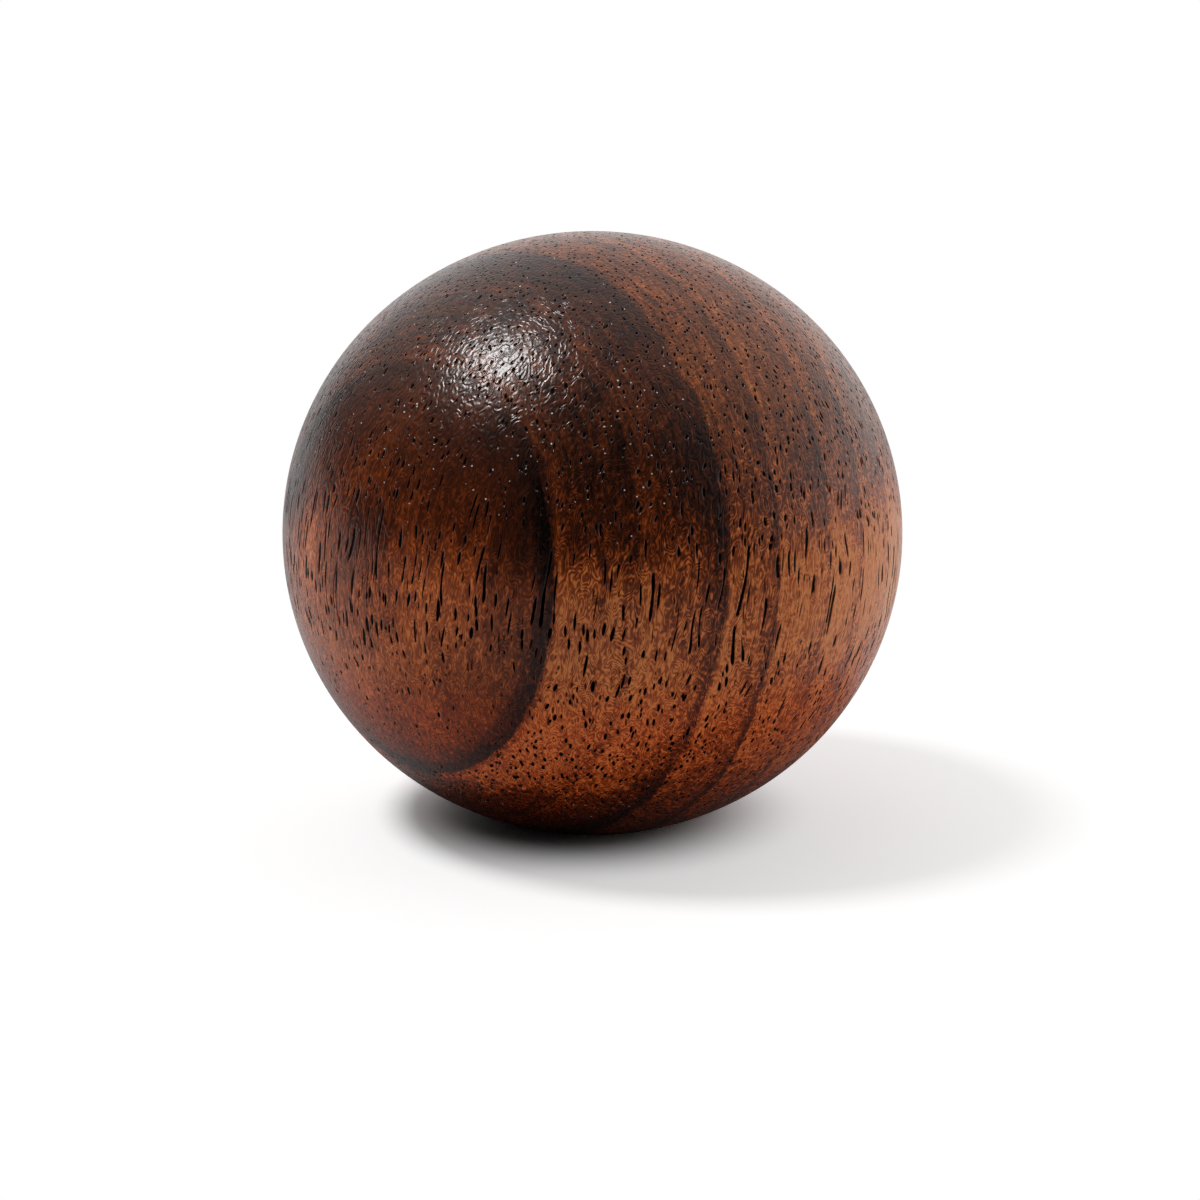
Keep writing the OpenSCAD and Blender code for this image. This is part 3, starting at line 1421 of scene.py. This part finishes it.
@dataclass
class Studio:
    """The floor, the lights and the camera, in metres.

    Attributes:
        target: The middle of the ball.
        lens: Focal length in mm.
        sensor: Width of the sensor in mm.
        clip: Nearest and farthest distance that the camera sees.
        distance: Distance from the camera to the middle of the ball.
        elevation: How high the camera looks from.
        ball_right: How far the ball stands right of the frame's middle, in pixels.
        ball_up: How far it stands above the frame's middle, in pixels.
        picture: Width of the frame in pixels.
        key_direction: Direction from the ball to the key light.
        key_strength: Strength of the key light.
        key_angle: Angle that the key light fills, which softens its shadows.
        sky_strength: Strength of the surround.
        sky_side: Direction in which the surround is palest.
        sky_turn: How it pales towards that direction.
        sky_climb: How it dims with height.
        flag_zone: Where a dark flag stands on the left: across, up to its foot and down from its top.
        flag_depth: How much of the surround the flag takes away.
        floor_size: Width of the floor.
        floor_white: How pale the floor is for the camera.
        floor_front: How the floor pales from front to back, for the light that it gives back.
        painted_foot_shade: How it pales away from the foot of the ball, painted shade around the foot in
            the light that it gives back.
        floor_gloss: How much darker its mirror image in the ball is, by distance in front.
        floor_rough: Roughness of the floor.
        shadow_shift: Step from the middle of the fading shadow to the middle of the ball.
        shadow_fade: How the shadow on the floor fades with distance, in two stages.
    """

    target: Vector
    lens: float = 100.0
    sensor: float = 36.0
    clip: tuple[float, float] = (0.01, 100.0)
    distance: float = 172.8 * MM
    elevation: float = math.radians(12.5)
    ball_right: float = -7.5
    ball_up: float = 66.7
    picture: float = 1200.0
    key_direction: Vector = field(default_factory=lambda: Vector((-0.45, 0.0, 0.89)))
    key_strength: float = 1.9
    key_angle: float = math.radians(14.0)
    sky_strength: float = 1.1
    sky_side: tuple[float, float, float] = (0.45, 0.88, 0.12)
    sky_turn: Step = Step(-0.42, 0.75, 0.015, 1.0)
    sky_climb: Step = Step(0.05, 0.5, 1.0, 0.7)
    flag_zone: tuple[Step, Step, Step] = (Step(-0.3, -0.65), Step(0.0, 0.12), Step(0.5, 0.25))
    flag_depth: float = 0.75
    floor_size: float = 8.0
    floor_white: float = 1.35
    floor_front: Step = Step(-160.0 * MM, -40.0 * MM, 0.08, 0.75)
    painted_foot_shade: Step = Step(8.0 * MM, 35.0 * MM, 0.5, 1.0)
    floor_gloss: Step = Step(-4.0 * MM, -20.0 * MM, 0.0, 0.6)
    floor_rough: float = 0.9
    shadow_shift: float = 1.0 * MM
    shadow_fade: tuple[Step, Step] = (
        Step(6.0 * MM, 13.0 * MM, 0.0, 0.58),
        Step(13.0 * MM, 42.0 * MM, 0.0, 0.42),
    )

    def camera(self) -> None:
        """Places the camera so that the ball stands where the frame has it."""
        data = bpy.data.cameras.new("camera")
        data.lens = self.lens
        data.sensor_width = self.sensor
        data.clip_start, data.clip_end = self.clip
        camera = bpy.data.objects.new("camera", data)
        bpy.context.scene.collection.objects.link(camera)
        away = Vector((0.0, -math.cos(self.elevation), math.sin(self.elevation)))
        camera.location = self.target + away * self.distance
        per_pixel = self.sensor / self.picture / self.lens
        aim = (-away).to_track_quat("-Z", "Y")
        turn = Vector((-self.ball_right * per_pixel, -self.ball_up * per_pixel, -1.0)).normalized()
        camera.rotation_euler = (aim @ turn).to_track_quat("-Z", "Y").to_euler()
        bpy.context.scene.camera = camera

    def floor_material(self) -> bpy.types.Material:
        """Builds the pale floor, which the camera sees a little lighter than the light does.

        Returns:
            The floor's material.
        """
        material, g, shader = new_material("pale_floor")
        g.plug(shader.inputs["Roughness"], self.floor_rough)
        g.plug(shader.inputs["Specular IOR Level"], 0.0)
        place = g.node("ShaderNodeTexCoord").outputs["Object"]
        depth = g.parts(place)[1]
        path = g.node("ShaderNodeLightPath")
        shiny = g.times(path.outputs["Is Glossy Ray"], g.fit(depth, *self.floor_gloss))
        # Painted shade around the ball's foot darkens the light that the floor gives back.
        pale = g.times(g.fit(depth, *self.floor_front), g.fit(g.length(place), *self.painted_foot_shade))
        tone = g.times(pale, g.less(1.0, shiny))
        away = g.length(g.shifted(place, (self.shadow_shift, 0.0, 0.0)))
        fade = g.plus(*(g.fit(away, *stage) for stage in self.shadow_fade))
        seen = g.times(g.less(1.0, fade), self.floor_white)
        camera = path.outputs["Is Camera Ray"]
        g.plug(shader.inputs["Base Color"],
               g.mix(camera, g.joined(tone, tone, tone), g.joined(seen, seen, seen)))
        g.plug(shader.inputs["Emission Color"], (1.0, 1.0, 1.0))
        g.plug(shader.inputs["Emission Strength"], g.times(camera, fade))
        return material

    def floor(self) -> None:
        """Lays the floor."""
        bpy.ops.object.select_all(action="DESELECT")
        bpy.ops.mesh.primitive_grid_add(x_subdivisions=4, y_subdivisions=4, size=self.floor_size,
                                        location=(0.0, 0.0, 0.0))
        piece = bpy.context.object
        piece.name = "floor"
        piece.data.materials.append(self.floor_material())

    def sky(self) -> None:
        """Builds the soft surround: white behind and to the right, dark on the camera's side."""
        world = bpy.data.worlds.new("surround")
        world.use_nodes = True
        bpy.context.scene.world = world
        g = Graph(world.node_tree)
        back = g.tree.nodes["Background"]
        way = g.node("ShaderNodeTexCoord").outputs["Generated"]
        dot = g.vector(VectorSum.DOT, way, self.sky_side).outputs["Value"]
        side = g.fit(dot, *self.sky_turn)
        x, _, height = g.parts(way)
        edges = zip((x, height, height), self.flag_zone)
        flag = g.times(*(g.fit(value, *edge) for value, edge in edges))
        dim = g.times(g.fit(height, *self.sky_climb), g.less(1.0, g.times(flag, self.flag_depth)))
        camera = g.node("ShaderNodeLightPath").outputs["Is Camera Ray"]
        level = g.times(g.less(1.0, camera), g.times(side, dim, self.sky_strength))
        g.plug(back.inputs["Strength"], g.plus(camera, level))
        g.plug(back.inputs["Color"], (1.0, 1.0, 1.0))

    def key(self) -> None:
        """Hangs the key light, high on the left."""
        data = bpy.data.lights.new("key", "SUN")
        data.energy = self.key_strength
        data.angle = self.key_angle
        lamp = bpy.data.objects.new("key", data)
        bpy.context.scene.collection.objects.link(lamp)
        lamp.rotation_euler = (-self.key_direction).to_track_quat("-Z", "Y").to_euler()

    def build(self) -> None:
        """Sets up the whole studio."""
        bpy.context.scene.view_settings.view_transform = "Standard"
        self.camera()
        self.floor()
        self.sky()
        self.key()


def main() -> None:
    """Builds the knob's pieces, the floor, the light and the camera."""
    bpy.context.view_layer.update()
    low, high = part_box("knob_body")
    grain = WalnutGrain()
    for build in (grain.rings_group, grain.stain_and_shade_group, grain.vessels_group, grain.fibres_group):
        LOG.info("pattern %s", build().name)
    turning = TurnedBall(diameter=high.x - low.x, height=high.z - low.z)
    ball = turning.build()
    ball.data.materials.append(WalnutFinish("oiled_walnut").material())
    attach(ball, BODY)
    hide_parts("knob_body")
    LOG.info("ball %d faces", len(ball.data.polygons))
    insert_low, insert_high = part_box("threaded_insert")
    insert = ScrewInsert(insert_low, insert_high).build(frame["nodes"]["threaded_insert"])
    insert.data.materials.clear()
    insert.data.materials.append(BrassFinish().material())
    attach(insert, BODY)
    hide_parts("threaded_insert")
    LOG.info("insert %d faces", len(insert.data.polygons))
    Studio(target=Vector((0.0, 0.0, turning.middle))).build()


if __name__ == "__main__":
    logging.basicConfig(level=logging.INFO, format="%(name)s: %(message)s")
    main()
